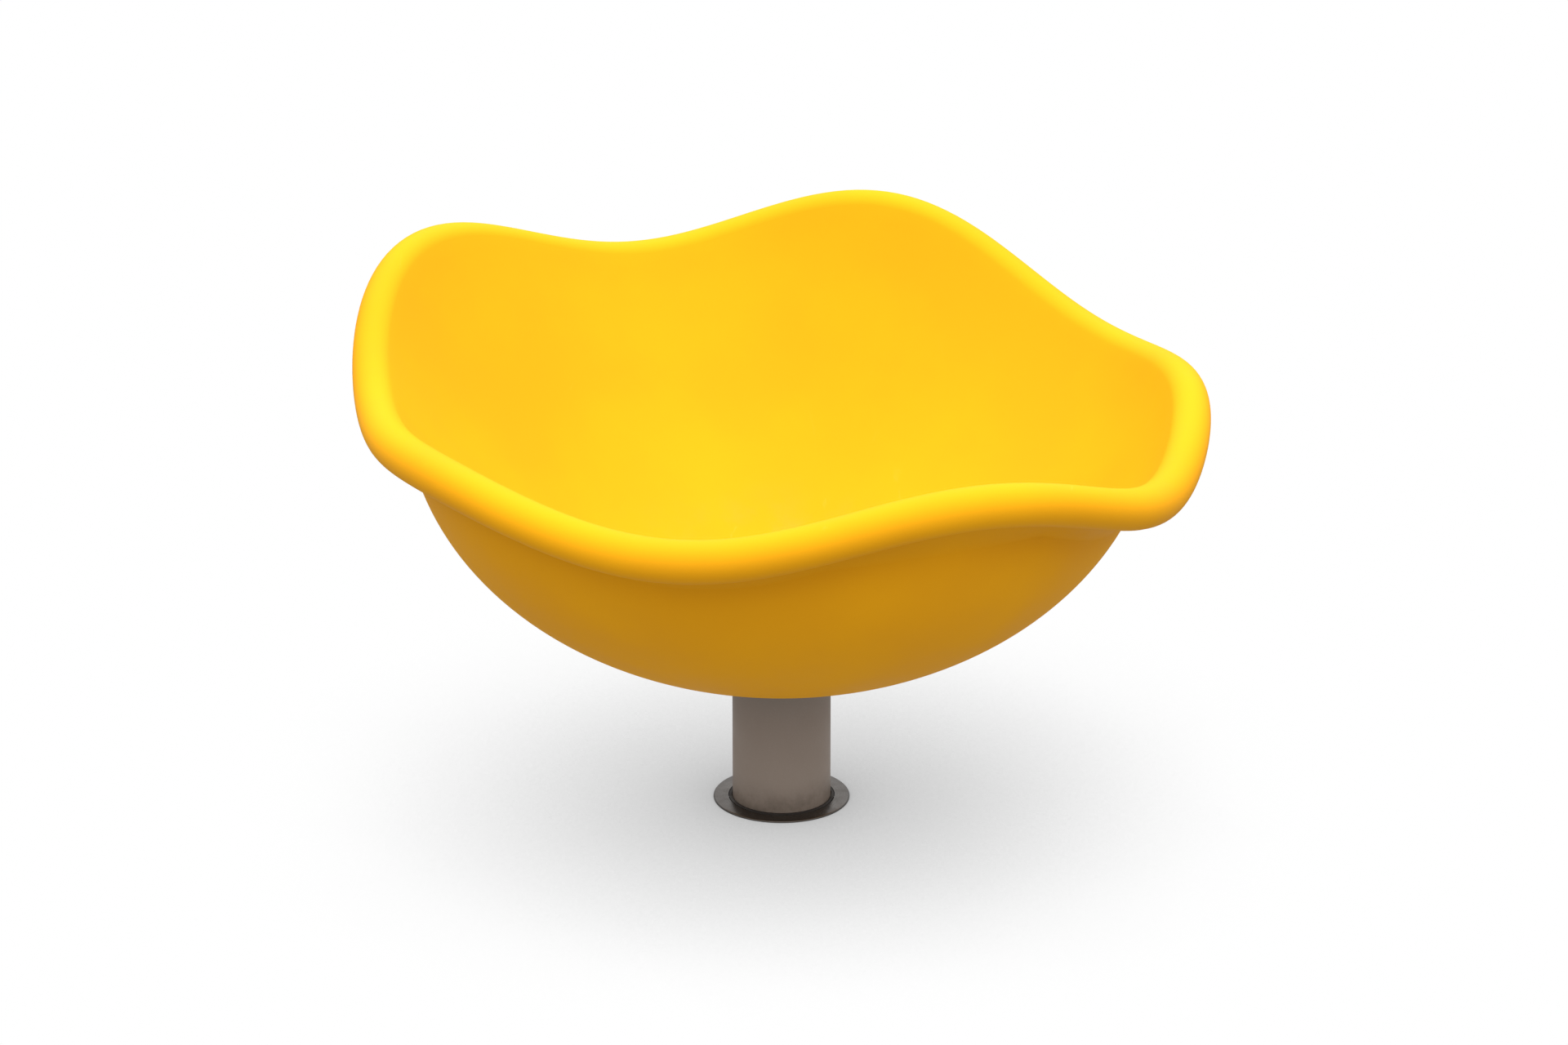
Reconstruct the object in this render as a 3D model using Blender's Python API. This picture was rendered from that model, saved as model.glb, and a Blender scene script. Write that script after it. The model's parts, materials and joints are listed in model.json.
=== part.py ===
"""Spinning bowl seat for a playground: a wavy double-skinned bowl on a fixed ground post.

Everything is in metres, +Z up. The origin is the centre of the underside of the base flange,
on the spin axis. The finished ground lies GROUND above it and hides the flange.
"""
import math

import bmesh
import bpy
from mathutils import Matrix, Vector

# ------------------------------------------------------------------ driving dimensions
GAP = 0.0003                 # clearance between neighbouring pieces
GROUND = 0.060               # finished ground above the underside of the base flange

FLANGE_RADIUS = 0.120
FLANGE_THICKNESS = 0.010
FLANGE_BOLT_CIRCLE = 0.095
FLANGE_BOLT_HOLE = 0.007
DRAIN_OFFSET = 0.020
DRAIN_RADIUS = 0.005
GUSSET_THICKNESS = 0.006
GUSSET_REACH = 0.085
GUSSET_TOP = 0.046
GUSSET_NOSE = 0.010

TUBE_RADIUS = 0.03805
TUBE_WALL = 0.0036
TUBE_TOP = 0.188
COLLAR_RADIUS = 0.053
COLLAR_INNER = 0.0412
COLLAR_THICKNESS = 0.004
COLLAR_PROUD = 0.0015

SPINDLE_RADIUS = 0.015
SPINDLE_BORE = 0.006
SPINDLE_BOTTOM = 0.094
SHOULDER_RADIUS = 0.0195
BEARING_RADIUS = 0.031
BEARING_HALF_WIDTH = 0.008
BALL_RADIUS = 0.0047625
BALL_PITCH = 0.023
BALL_COUNT = 9
INNER_LAND = 0.0202
OUTER_LAND = 0.0258
GROOVE_RADIUS = 0.0055
UPPER_BEARING = 0.1743       # height of the upper bearing's middle
LOWER_BEARING = 0.1140
CIRCLIP_THICKNESS = 0.0017

PLATE_RADIUS = 0.058
PLATE_BOTTOM = 0.1958
PLATE_THICKNESS = 0.010
CLAMP_RADIUS = 0.056
CLAMP_THICKNESS = 0.004
CLAMP_DRAIN = 0.008
BOLT_CIRCLE = 0.042
BOLT_RADIUS = 0.005
BOLT_COUNT = 4
BOLT_LENGTH = 0.020

FLOOR_SKIN = 0.006           # bowl floor between the mounting plate and the clamp disc
FLOOR_SEAT = 0.064           # radius of the flat seat in the bowl's floor
FLOOR_DRAIN = 0.010
SKIN = 0.0055                # moulded skin around the hollow
CAVITY_TOP = GROUND + 0.235  # the two skins run together above this height
HUB_OPENING = 0.062
HUB_LAND = 0.082             # flat ring under the shell that takes the shroud

# The shell is a superellipse of revolution.
SHELL_RADIUS = 0.2856
SHELL_DEPTH = 0.2181
SHELL_WAIST = GROUND + 0.3311
SHELL_POWER = 2.02

# The rim is a rolled lip that waves up and down and in and out. Its centre line passes through
# evenly spaced stations, given by their height above the ground and their radius.
LIP_RADIUS = 0.016
RIM_HEIGHTS = (0.3165, 0.3095, 0.3490, 0.3745, 0.3410, 0.3755, 0.3780,
               0.3305, 0.3340, 0.3230, 0.3155, 0.3445, 0.3265, 0.2965)
RIM_RADII = (0.3120, 0.3125, 0.3150, 0.3255, 0.3195, 0.3255, 0.3250,
             0.3060, 0.3100, 0.3130, 0.3095, 0.3135, 0.3190, 0.3085)
RIM_START = math.radians(5.6)
WALL_ANGLE = math.radians(58)  # slope of the upper wall, steeper in the five outward bays
WALL_ANGLE_SWING = math.radians(4)
FLOOR_EASE = 0.62
WALL_EASE = 0.55
UNDERLIP_END = math.radians(262 - 360)
UNDERLIP_DROP = 0.018
UNDERLIP_STRETCH = 0.8
UNDERLIP_EASE = 0.4
SHELL_EASE = 0.3

SHROUD_INNER = 0.041
SHROUD_RADIUS = 0.079
SHROUD_THICKNESS = 0.003
SHROUD_SCREW_CIRCLE = 0.072

ROUND = 32                   # segments of large round pieces
SMALL_ROUND = 24
BOLT_ROUND = 12
BOWL_COLUMNS = 60
WALL_ROWS = 7
LIP_ROWS = 7
UNDERLIP_ROWS = 3
SHELL_ROWS = 6


# ------------------------------------------------------------------ scene helpers
def clear_scene():
    """Remove every object that the file starts with."""
    for item in list(bpy.data.objects):
        bpy.data.objects.remove(item, do_unlink=True)


def material(name, colour, roughness, metallic=0.0):
    """A Principled material with one linear colour."""
    made = bpy.data.materials.new(name)
    made.use_nodes = True
    shader = made.node_tree.nodes["Principled BSDF"]
    shader.inputs["Base Color"].default_value = (*colour, 1.0)
    shader.inputs["Roughness"].default_value = roughness
    shader.inputs["Metallic"].default_value = metallic
    return made


def empty(name):
    """A guide on the spin axis that the pieces of one body hang from."""
    guide = bpy.data.objects.new(name, None)
    bpy.context.collection.objects.link(guide)
    return guide


def mesh_from(name, bm, smooth=True):
    """Turn a bmesh into a mesh with outward faces and sharp edges kept sharp."""
    bmesh.ops.recalc_face_normals(bm, faces=bm.faces)
    mesh = bpy.data.meshes.new(name)
    bm.to_mesh(mesh)
    bm.free()
    if smooth:
        mesh.shade_smooth()
        mesh.set_sharp_from_angle(angle=math.radians(35))
    return mesh


def place(name, mesh, finish, parent, location=(0, 0, 0), rotation=(0, 0, 0)):
    """Make a named piece from a mesh and hang it from its body's guide."""
    piece = bpy.data.objects.new(name, mesh)
    if finish is not None and not mesh.materials:
        mesh.materials.append(finish)
    bpy.context.collection.objects.link(piece)
    piece.parent = parent
    piece.location = location
    piece.rotation_euler = rotation
    return piece


def cut(piece, cutter_mesh):
    """Cut a piece with a hidden cutter."""
    cutter = place(piece.name + "_cutter", cutter_mesh, None, None)
    cutter.hide_render = True
    cutter.display_type = "WIRE"
    boolean = piece.modifiers.new("cut", "BOOLEAN")
    boolean.operation = "DIFFERENCE"
    boolean.solver = "EXACT"
    boolean.object = cutter


# ------------------------------------------------------------------ shape helpers
def polar(radius, angle, height=0.0):
    return Vector((radius * math.cos(angle), radius * math.sin(angle), height))


def sweep(sections, wrap=True):
    """Join closed sections, given as equal lists of points, into one closed body."""
    bm = bmesh.new()
    rings = [[bm.verts.new(point) for point in section] for section in sections]
    count = len(rings)
    size = len(rings[0])
    for i in range(count if wrap else count - 1):
        here, after = rings[i], rings[(i + 1) % count]
        for j in range(size):
            k = (j + 1) % size
            bm.faces.new((here[j], after[j], after[k], here[k]))
    if not wrap:
        bm.faces.new(rings[0])
        bm.faces.new(reversed(rings[-1]))
    return bm


def ring(profile, segments=SMALL_ROUND):
    """Turn a closed profile of (radius, height) around the axis."""
    angles = [2 * math.pi * i / segments for i in range(segments)]
    return sweep([[polar(r, a, z) for r, z in profile] for a in angles])


def washer(inner, outer, bottom, top, segments=SMALL_ROUND, chamfer=0.0):
    """A flat ring, with its outer edges chamfered if asked."""
    if chamfer:
        profile = [(inner, bottom), (inner, top), (outer - chamfer, top), (outer, top - chamfer),
                   (outer, bottom + chamfer), (outer - chamfer, bottom)]
    else:
        profile = [(inner, bottom), (inner, top), (outer, top), (outer, bottom)]
    return ring(profile, segments)


def turned(profile, segments=SMALL_ROUND, hexagon=()):
    """Turn an open profile whose two ends lie on the axis. Rows in hexagon get six flats."""
    bm = bmesh.new()
    start = bm.verts.new((0, 0, profile[0][1]))
    finish = bm.verts.new((0, 0, profile[-1][1]))
    rows = []
    for number, (radius, height) in enumerate(profile[1:-1], start=1):
        row = []
        for i in range(segments):
            angle = 2 * math.pi * i / segments
            reach = radius
            if number in hexagon:
                off_flat = (angle % (math.pi / 3)) - math.pi / 6
                reach = radius / math.cos(off_flat)
            row.append(bm.verts.new(polar(reach, angle, height)))
        rows.append(row)
    for i in range(segments):
        k = (i + 1) % segments
        bm.faces.new((start, rows[0][i], rows[0][k]))
        bm.faces.new((finish, rows[-1][k], rows[-1][i]))
        for low, high in zip(rows, rows[1:]):
            bm.faces.new((low[i], high[i], high[k], low[k]))
    return bm


def notched_ring(inner, outer, notch_floor, bottom, top, notches, segments):
    """A ring whose rim is cut by evenly spaced notches."""
    sections = []
    for i in range(segments):
        angle = 2 * math.pi * i / segments
        in_notch = (i * notches / segments) % 1.0 < 0.3
        reach = notch_floor if in_notch else outer
        outline = ((inner, bottom), (inner, top), (reach, top), (reach, bottom))
        sections.append([polar(r, angle, z) for r, z in outline])
    return sweep(sections)


def pins(places, radius, bottom, top, segments=BOLT_ROUND):
    """Upright cylinders at the given (x, y) places, for cutting holes."""
    bm = bmesh.new()
    for x, y in places:
        middle = Matrix.Translation((x, y, (bottom + top) / 2))
        bmesh.ops.create_cone(bm, cap_ends=True, segments=segments, radius1=radius,
                              radius2=radius, depth=top - bottom, matrix=middle)
    return bm


def around(radius, count, start=0.0):
    """Evenly spaced (x, y) places on a circle."""
    angles = [start + 2 * math.pi * i / count for i in range(count)]
    return [(radius * math.cos(a), radius * math.sin(a)) for a in angles]


def bezier(p0, p1, p2, p3, rows):
    """Points on a cubic curve in the (radius, height) plane, both ends included."""
    points = []
    for i in range(rows + 1):
        t = i / rows
        s = 1 - t
        weights = (s ** 3, 3 * s * s * t, 3 * s * t * t, t ** 3)
        points.append(tuple(sum(w * p[axis] for w, p in zip(weights, (p0, p1, p2, p3)))
                            for axis in range(2)))
    return points


# ------------------------------------------------------------------ the bowl's shape
def rim_point(angle):
    """Radius and height of the lip's centre line, a smooth wave through the rim's stations."""
    count = len(RIM_HEIGHTS)
    radius, height = 0.0, GROUND
    for i in range(count):
        off = angle - RIM_START - 2 * math.pi * i / count
        if abs(math.sin(off / 2)) < 1e-9:
            weight = 1.0
        else:
            weight = math.sin(count * off / 2) / (count * math.tan(off / 2))
        radius += weight * RIM_RADII[i]
        height += weight * RIM_HEIGHTS[i]
    return radius, height


def shell_radius(height):
    """Radius of the plain outer shell at a height."""
    ratio = abs(height - SHELL_WAIST) / SHELL_DEPTH
    return SHELL_RADIUS * (1 - ratio ** SHELL_POWER) ** (1 / SHELL_POWER)


def shell_height(radius):
    """Height of the lower half of the outer shell at a radius."""
    ratio = (radius / SHELL_RADIUS) ** SHELL_POWER
    return SHELL_WAIST - SHELL_DEPTH * (1 - ratio) ** (1 / SHELL_POWER)


def wall_curve(angle, rows):
    """Inner wall from the edge of the floor seat up to the lip, and the angle it ends at."""
    rim_radius, rim_height = rim_point(angle)
    slope = WALL_ANGLE + WALL_ANGLE_SWING * math.cos(5 * (angle - RIM_START))
    meet = math.pi / 2 + slope
    end = (rim_radius + LIP_RADIUS * math.cos(meet), rim_height + LIP_RADIUS * math.sin(meet))
    floor = PLATE_BOTTOM + PLATE_THICKNESS + GAP + FLOOR_SKIN
    start = (FLOOR_SEAT, floor)
    corner = end[0] - (end[1] - floor) / math.tan(slope)
    ease_in = (start[0] + FLOOR_EASE * (corner - start[0]), floor)
    ease_out = (end[0] + WALL_EASE * (corner - end[0]), end[1] + WALL_EASE * (floor - end[1]))
    return bezier(start, ease_in, ease_out, end, rows), meet


def lip_curve(angle, meet, rows):
    """The rolled lip, over the top and round to its underside."""
    rim_radius, rim_height = rim_point(angle)
    turns = [meet + (UNDERLIP_END - meet) * i / rows for i in range(1, rows + 1)]
    return [(rim_radius + LIP_RADIUS * math.cos(a), rim_height + LIP_RADIUS * math.sin(a))
            for a in turns]


def shell_join(angle):
    """Height at which the plain shell ends under the lip."""
    rim_height = rim_point(angle)[1]
    stretch = UNDERLIP_STRETCH * max(0.0, rim_height - SHELL_WAIST)
    return rim_height - LIP_RADIUS - UNDERLIP_DROP - stretch


def underlip_curve(angle, start, rows):
    """From the underside of the lip down to the plain shell."""
    height = shell_join(angle)
    join = (shell_radius(height), height)
    step = 1e-4
    rise = Vector((shell_radius(height + step) - join[0], step)).normalized()
    inward = Vector((math.sin(UNDERLIP_END), -math.cos(UNDERLIP_END)))
    reach_in = UNDERLIP_EASE * (start[0] - join[0])
    reach_up = SHELL_EASE * (start[1] - join[1])
    first = (start[0] + inward.x * reach_in, start[1] + inward.y * reach_in)
    second = (join[0] + rise.x * reach_up, join[1] + rise.y * reach_up)
    return bezier(start, first, second, join, rows)[1:]


def shell_curve(top, bottom_radius, rows):
    """The plain shell from a height down to a radius, evenly spread along its curve."""
    first = math.acos((shell_radius(top) / SHELL_RADIUS) ** (SHELL_POWER / 2))
    if top > SHELL_WAIST:
        first = -first
    last = math.acos((bottom_radius / SHELL_RADIUS) ** (SHELL_POWER / 2))
    points = []
    for i in range(1, rows + 1):
        turn = first + (last - first) * i / rows
        radius = SHELL_RADIUS * abs(math.cos(turn)) ** (2 / SHELL_POWER)
        drop = SHELL_DEPTH * abs(math.sin(turn)) ** (2 / SHELL_POWER)
        points.append((radius, SHELL_WAIST - math.copysign(drop, turn)))
    return points


def offset_curve(points, distance):
    """Shift a curve to its right by a distance."""
    shifted = []
    for i, (r, z) in enumerate(points):
        before, after = points[max(i - 1, 0)], points[min(i + 1, len(points) - 1)]
        along = Vector((after[0] - before[0], after[1] - before[1])).normalized()
        shifted.append((r + along.y * distance, z - along.x * distance))
    return shifted


def below(points, height, rows):
    """The part of a rising curve below a height, as evenly spaced points."""
    kept = [p for p in points if p[1] < height]
    low, high = kept[-1], points[len(kept)]
    share = (height - low[1]) / (high[1] - low[1])
    kept.append((low[0] + share * (high[0] - low[0]), height))
    lengths = [0.0]
    for a, b in zip(kept, kept[1:]):
        lengths.append(lengths[-1] + math.dist(a, b))
    spread = []
    j = 0
    for i in range(rows + 1):
        target = lengths[-1] * i / rows
        while j < len(kept) - 2 and lengths[j + 1] < target:
            j += 1
        t = (target - lengths[j]) / (lengths[j + 1] - lengths[j])
        spread.append((kept[j][0] + t * (kept[j + 1][0] - kept[j][0]),
                       kept[j][1] + t * (kept[j + 1][1] - kept[j][1])))
    return spread


def bowl_section(angle):
    """Closed section of the double-skinned bowl at one angle."""
    floor = PLATE_BOTTOM + PLATE_THICKNESS + GAP + FLOOR_SKIN
    land = shell_height(HUB_LAND)
    wall, meet = wall_curve(angle, WALL_ROWS)
    lip = lip_curve(angle, meet, LIP_ROWS)
    underlip = underlip_curve(angle, lip[-1], UNDERLIP_ROWS)
    shell = shell_curve(shell_join(angle), HUB_LAND, SHELL_ROWS)

    fine_wall = wall_curve(angle, 4 * WALL_ROWS)[0]
    hollow_wall = offset_curve(below(fine_wall, CAVITY_TOP, WALL_ROWS - 3), SKIN)
    rising_shell = list(reversed(shell_curve(SHELL_WAIST, HUB_LAND, 4 * SHELL_ROWS)))
    hollow_shell = offset_curve(below(rising_shell, CAVITY_TOP, SHELL_ROWS - 2), -SKIN)

    outside = [(FLOOR_DRAIN, floor), (BOLT_CIRCLE, floor)] + wall + lip + underlip + shell
    opening = [(HUB_OPENING, land), (HUB_OPENING, land + SKIN)]
    hollow = hollow_shell + list(reversed(hollow_wall[1:]))
    seat = [(FLOOR_SEAT, floor - FLOOR_SKIN), (BOLT_CIRCLE, floor - FLOOR_SKIN),
            (FLOOR_DRAIN, floor - FLOOR_SKIN)]
    return outside + opening + hollow + seat


# ------------------------------------------------------------------ fixed pieces
def build_base(finish, parent):
    chamfer = 0.0015
    flange = turned([(0, 0), (FLANGE_RADIUS, 0), (FLANGE_RADIUS, FLANGE_THICKNESS - chamfer),
                     (FLANGE_RADIUS - chamfer, FLANGE_THICKNESS), (0, FLANGE_THICKNESS)], ROUND)
    piece = place("base_flange", mesh_from("base_flange", flange), finish, parent)
    holes = pins(around(FLANGE_BOLT_CIRCLE, 4, math.radians(45)), FLANGE_BOLT_HOLE, -0.01, 0.03)
    drain = Matrix.Translation((DRAIN_OFFSET, 0, 0.01))
    bmesh.ops.create_cone(holes, cap_ends=True, segments=12, radius1=DRAIN_RADIUS,
                          radius2=DRAIN_RADIUS, depth=0.04, matrix=drain)
    cut(piece, mesh_from("base_flange_holes", holes))

    inner = TUBE_RADIUS + GAP
    foot = FLANGE_THICKNESS + GAP
    cope = 0.008
    outline = [(inner + cope, foot), (GUSSET_REACH, foot), (GUSSET_REACH, foot + GUSSET_NOSE),
               (inner + GUSSET_NOSE, GUSSET_TOP), (inner, GUSSET_TOP), (inner, foot + cope)]
    half = GUSSET_THICKNESS / 2
    sides = [[Vector((r, y, z)) for r, z in outline] for y in (-half, half)]
    plate = mesh_from("base_gusset", sweep(sides, wrap=False), smooth=False)
    for i in range(4):
        place(f"base_gusset_{i + 1}", plate, finish, parent, rotation=(0, 0, i * math.pi / 2))


def build_post(finish, parent):
    tube = washer(TUBE_RADIUS - TUBE_WALL, TUBE_RADIUS, FLANGE_THICKNESS + GAP, TUBE_TOP, ROUND,
                  chamfer=0.0008)
    place("post_tube", mesh_from("post_tube", tube), finish, parent)


def build_collar(steel, rubber, parent):
    top = GROUND + COLLAR_PROUD
    bottom = top - COLLAR_THICKNESS
    disc = washer(COLLAR_INNER, COLLAR_RADIUS, bottom, top, ROUND, chamfer=0.0006)
    place("ground_collar", mesh_from("ground_collar", disc), steel, parent)
    inner = TUBE_RADIUS + GAP
    outer = COLLAR_INNER - GAP
    lip = top + 0.0008
    gasket = ring([(inner, bottom), (inner, lip), ((inner + outer) / 2, lip), (outer, top),
                   (outer, bottom)], ROUND)
    place("collar_seal", mesh_from("collar_seal", gasket), rubber, parent)


def build_housing(finish, parent):
    outer = TUBE_RADIUS - TUBE_WALL - GAP
    bore = BEARING_RADIUS + GAP
    step = OUTER_LAND + 0.0017
    bottom = LOWER_BEARING - BEARING_HALF_WIDTH - 0.002
    low_step = LOWER_BEARING + BEARING_HALF_WIDTH + GAP
    high_step = UPPER_BEARING - BEARING_HALF_WIDTH - GAP
    groove_floor = bore + 0.0018
    groove = UPPER_BEARING + BEARING_HALF_WIDTH
    groove_top = groove + CIRCLIP_THICKNESS + 2 * GAP
    body = ring([(outer, bottom), (bore, bottom), (bore, low_step), (step, low_step),
                 (step, high_step), (bore, high_step), (bore, groove), (groove_floor, groove),
                 (groove_floor, groove_top), (bore, groove_top), (bore, TUBE_TOP),
                 (outer, TUBE_TOP)])
    place("bearing_housing", mesh_from("bearing_housing", body), finish, parent)

    clip_bottom = groove + GAP
    clip_top = clip_bottom + CIRCLIP_THICKNESS
    gap_angle = math.radians(14)
    turns = [gap_angle / 2 + (2 * math.pi - gap_angle) * i / SMALL_ROUND
             for i in range(SMALL_ROUND + 1)]
    outline = ((0.0284, clip_bottom), (0.0284, clip_top), (groove_floor - GAP, clip_top),
               (groove_floor - GAP, clip_bottom))
    clip = sweep([[polar(r, a, z) for r, z in outline] for a in turns], wrap=False)
    place("housing_circlip", mesh_from("housing_circlip", clip), finish, parent)


# ------------------------------------------------------------------ bearings
def groove_curve(land, side):
    """Raceway points from the top of a ring's land to its bottom."""
    reach = abs(land - BALL_PITCH)
    limit = math.acos(reach / GROOVE_RADIUS)
    turns = [limit - 2 * limit * i / 3 for i in range(4)]
    return [(BALL_PITCH + side * GROOVE_RADIUS * math.cos(a), GROOVE_RADIUS * math.sin(a))
            for a in turns]


def build_bearing_rings(finish, fixed, spinning):
    half = BEARING_HALF_WIDTH
    bore = SPINDLE_RADIUS + GAP
    inner = ring([(bore, -half), (bore, half), (INNER_LAND, half)]
                 + groove_curve(INNER_LAND, -1) + [(INNER_LAND, -half)])
    outer = ring([(BEARING_RADIUS, -half), (BEARING_RADIUS, half), (OUTER_LAND, half)]
                 + groove_curve(OUTER_LAND, 1) + [(OUTER_LAND, -half)])
    inner_mesh = mesh_from("bearing_inner_ring", inner)
    outer_mesh = mesh_from("bearing_outer_ring", outer)
    for name, height in (("upper", UPPER_BEARING), ("lower", LOWER_BEARING)):
        place(name + "_inner_ring", inner_mesh, finish, spinning, (0, 0, height))
        place(name + "_outer_ring", outer_mesh, finish, fixed, (0, 0, height))


def build_bearing_seals(finish, fixed):
    clear = 0.0004
    seal = washer(INNER_LAND + clear, OUTER_LAND - clear, -0.0005, 0.0005)
    mesh = mesh_from("bearing_seal", seal)
    inset = BEARING_HALF_WIDTH - 0.0009
    for name, height in (("upper", UPPER_BEARING), ("lower", LOWER_BEARING)):
        place(name + "_bearing_top_seal", mesh, finish, fixed, (0, 0, height + inset))
        place(name + "_bearing_bottom_seal", mesh, finish, fixed, (0, 0, height - inset))


def build_cages(plastic, steel, parent):
    half = 0.0060
    clear = BALL_RADIUS + 0.00035
    pockets = bmesh.new()
    for i in range(BALL_COUNT):
        turn = Matrix.Rotation(2 * math.pi * i / BALL_COUNT, 4, "Z")
        lie = Matrix.Rotation(math.pi / 2, 4, "Y")
        matrix = turn @ Matrix.Translation((BALL_PITCH, 0, 0)) @ lie
        bmesh.ops.create_cone(pockets, cap_ends=True, segments=10, radius1=clear, radius2=clear,
                              depth=0.008, matrix=matrix)
    pocket_mesh = mesh_from("cage_pockets", pockets)
    cage_mesh = mesh_from("bearing_cage", washer(0.0213, 0.0247, -half, half, SMALL_ROUND))

    ball = bmesh.new()
    bmesh.ops.create_icosphere(ball, subdivisions=2, radius=BALL_RADIUS)
    ball_mesh = mesh_from("bearing_ball", ball)
    ball_mesh.shade_smooth()
    for name, height in (("upper", UPPER_BEARING), ("lower", LOWER_BEARING)):
        cage = place(name + "_cage", cage_mesh, plastic, parent, (0, 0, height))
        cut(cage, pocket_mesh)
        bpy.data.objects[name + "_cage_cutter"].location = (0, 0, height)
        for i, (x, y) in enumerate(around(BALL_PITCH, BALL_COUNT)):
            place(f"{name}_ball_{i + 1}", ball_mesh, steel, parent, (x, y, height))


# ------------------------------------------------------------------ spinning pieces
def build_spindle(finish, rubber, parent):
    shoulder = UPPER_BEARING + BEARING_HALF_WIDTH + GAP
    plate_top = PLATE_BOTTOM + PLATE_THICKNESS
    chamfer = 0.001
    shaft = ring([(SPINDLE_BORE, SPINDLE_BOTTOM), (SPINDLE_BORE, plate_top),
                  (SPINDLE_RADIUS, plate_top), (SPINDLE_RADIUS, PLATE_BOTTOM - GAP),
                  (SHOULDER_RADIUS, PLATE_BOTTOM - GAP), (SHOULDER_RADIUS, shoulder),
                  (SPINDLE_RADIUS, shoulder), (SPINDLE_RADIUS, SPINDLE_BOTTOM + chamfer),
                  (SPINDLE_RADIUS - chamfer, SPINDLE_BOTTOM)])
    place("spindle", mesh_from("spindle", shaft), finish, parent)

    sleeve = SPINDLE_RADIUS + GAP
    low = LOWER_BEARING + BEARING_HALF_WIDTH + GAP
    high = UPPER_BEARING - BEARING_HALF_WIDTH - GAP
    spacer = washer(sleeve, SHOULDER_RADIUS, low, high)
    place("spindle_spacer", mesh_from("spindle_spacer", spacer), finish, parent)

    tab_top = LOWER_BEARING - BEARING_HALF_WIDTH - GAP
    tab_bottom = tab_top - 0.0013
    tabs = notched_ring(sleeve, 0.0235, 0.0208, tab_bottom, tab_top, 9, 36)
    place("tab_washer", mesh_from("tab_washer", tabs), finish, parent)

    nut_top = tab_bottom - GAP
    nut = notched_ring(sleeve, 0.0225, 0.0205, nut_top - 0.007, nut_top, 4, 32)
    place("lock_nut", mesh_from("lock_nut", nut), finish, parent)

    seal_inner = SHOULDER_RADIUS + GAP
    foot = TUBE_TOP + 0.0005
    seal = ring([(seal_inner, foot + 0.001), (seal_inner, foot + 0.006),
                 (seal_inner + 0.005, foot + 0.006), (seal_inner + 0.006, foot + 0.0035),
                 (seal_inner + 0.0105, foot + 0.0005), (seal_inner + 0.010, foot),
                 (seal_inner + 0.0045, foot + 0.0018)])
    place("dust_seal", mesh_from("dust_seal", seal), rubber, parent)


def build_plate(finish, parent):
    top = PLATE_BOTTOM + PLATE_THICKNESS
    disc = washer(SPINDLE_RADIUS + GAP, PLATE_RADIUS, PLATE_BOTTOM, top, ROUND, chamfer=0.001)
    piece = place("mounting_plate", mesh_from("mounting_plate", disc), finish, parent)
    places = around(BOLT_CIRCLE, BOLT_COUNT)
    holes = pins(places, BOLT_RADIUS + GAP, PLATE_BOTTOM - 0.01, top + 0.01)
    cut(piece, mesh_from("mounting_plate_holes", holes))


def build_clamp(finish, bolt_finish, parent):
    bottom = PLATE_BOTTOM + PLATE_THICKNESS + FLOOR_SKIN + 2 * GAP
    top = bottom + CLAMP_THICKNESS
    disc = washer(CLAMP_DRAIN, CLAMP_RADIUS, bottom, top, ROUND, chamfer=0.001)
    piece = place("clamp_disc", mesh_from("clamp_disc", disc), finish, parent)
    places = around(BOLT_CIRCLE, BOLT_COUNT)
    holes = pins(places, BOLT_RADIUS + GAP, bottom - 0.01, top + 0.01)
    cut(piece, mesh_from("clamp_disc_holes", holes))

    socket = 0.003
    bolt = turned([(0, -BOLT_LENGTH), (BOLT_RADIUS - 0.001, -BOLT_LENGTH),
                   (BOLT_RADIUS, -BOLT_LENGTH + 0.001), (BOLT_RADIUS, 0), (0.00875, 0),
                   (0.00865, 0.0012), (0.0074, 0.0036), (0.0050, 0.0053), (socket, 0.0055),
                   (socket, 0.0028), (0, 0.0028)], BOLT_ROUND, hexagon=(8, 9))
    mesh = mesh_from("bowl_bolt", bolt)
    for i, (x, y) in enumerate(places):
        place(f"bowl_bolt_{i + 1}", mesh, bolt_finish, parent, (x, y, top + GAP))


def build_shroud(plastic, bolt_finish, parent):
    top = shell_height(HUB_LAND) - GAP
    bottom = top - SHROUD_THICKNESS
    cover = washer(SHROUD_INNER, SHROUD_RADIUS, bottom, top, ROUND, chamfer=0.001)
    piece = place("hub_shroud", mesh_from("hub_shroud", cover), plastic, parent)
    places = around(SHROUD_SCREW_CIRCLE, 4, math.radians(45))
    cut(piece, mesh_from("hub_shroud_holes", pins(places, 0.0024, bottom - 0.01, top + 0.01)))

    screw = turned([(0, 0.010), (0.0020, 0.0085), (0.0020, 0), (0.0040, 0),
                    (0.0038, -0.0014), (0.0024, -0.0024), (0, -0.0025)], BOLT_ROUND)
    mesh = mesh_from("shroud_screw", screw)
    for i, (x, y) in enumerate(places):
        place(f"shroud_screw_{i + 1}", mesh, bolt_finish, parent, (x, y, bottom - GAP))


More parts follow.
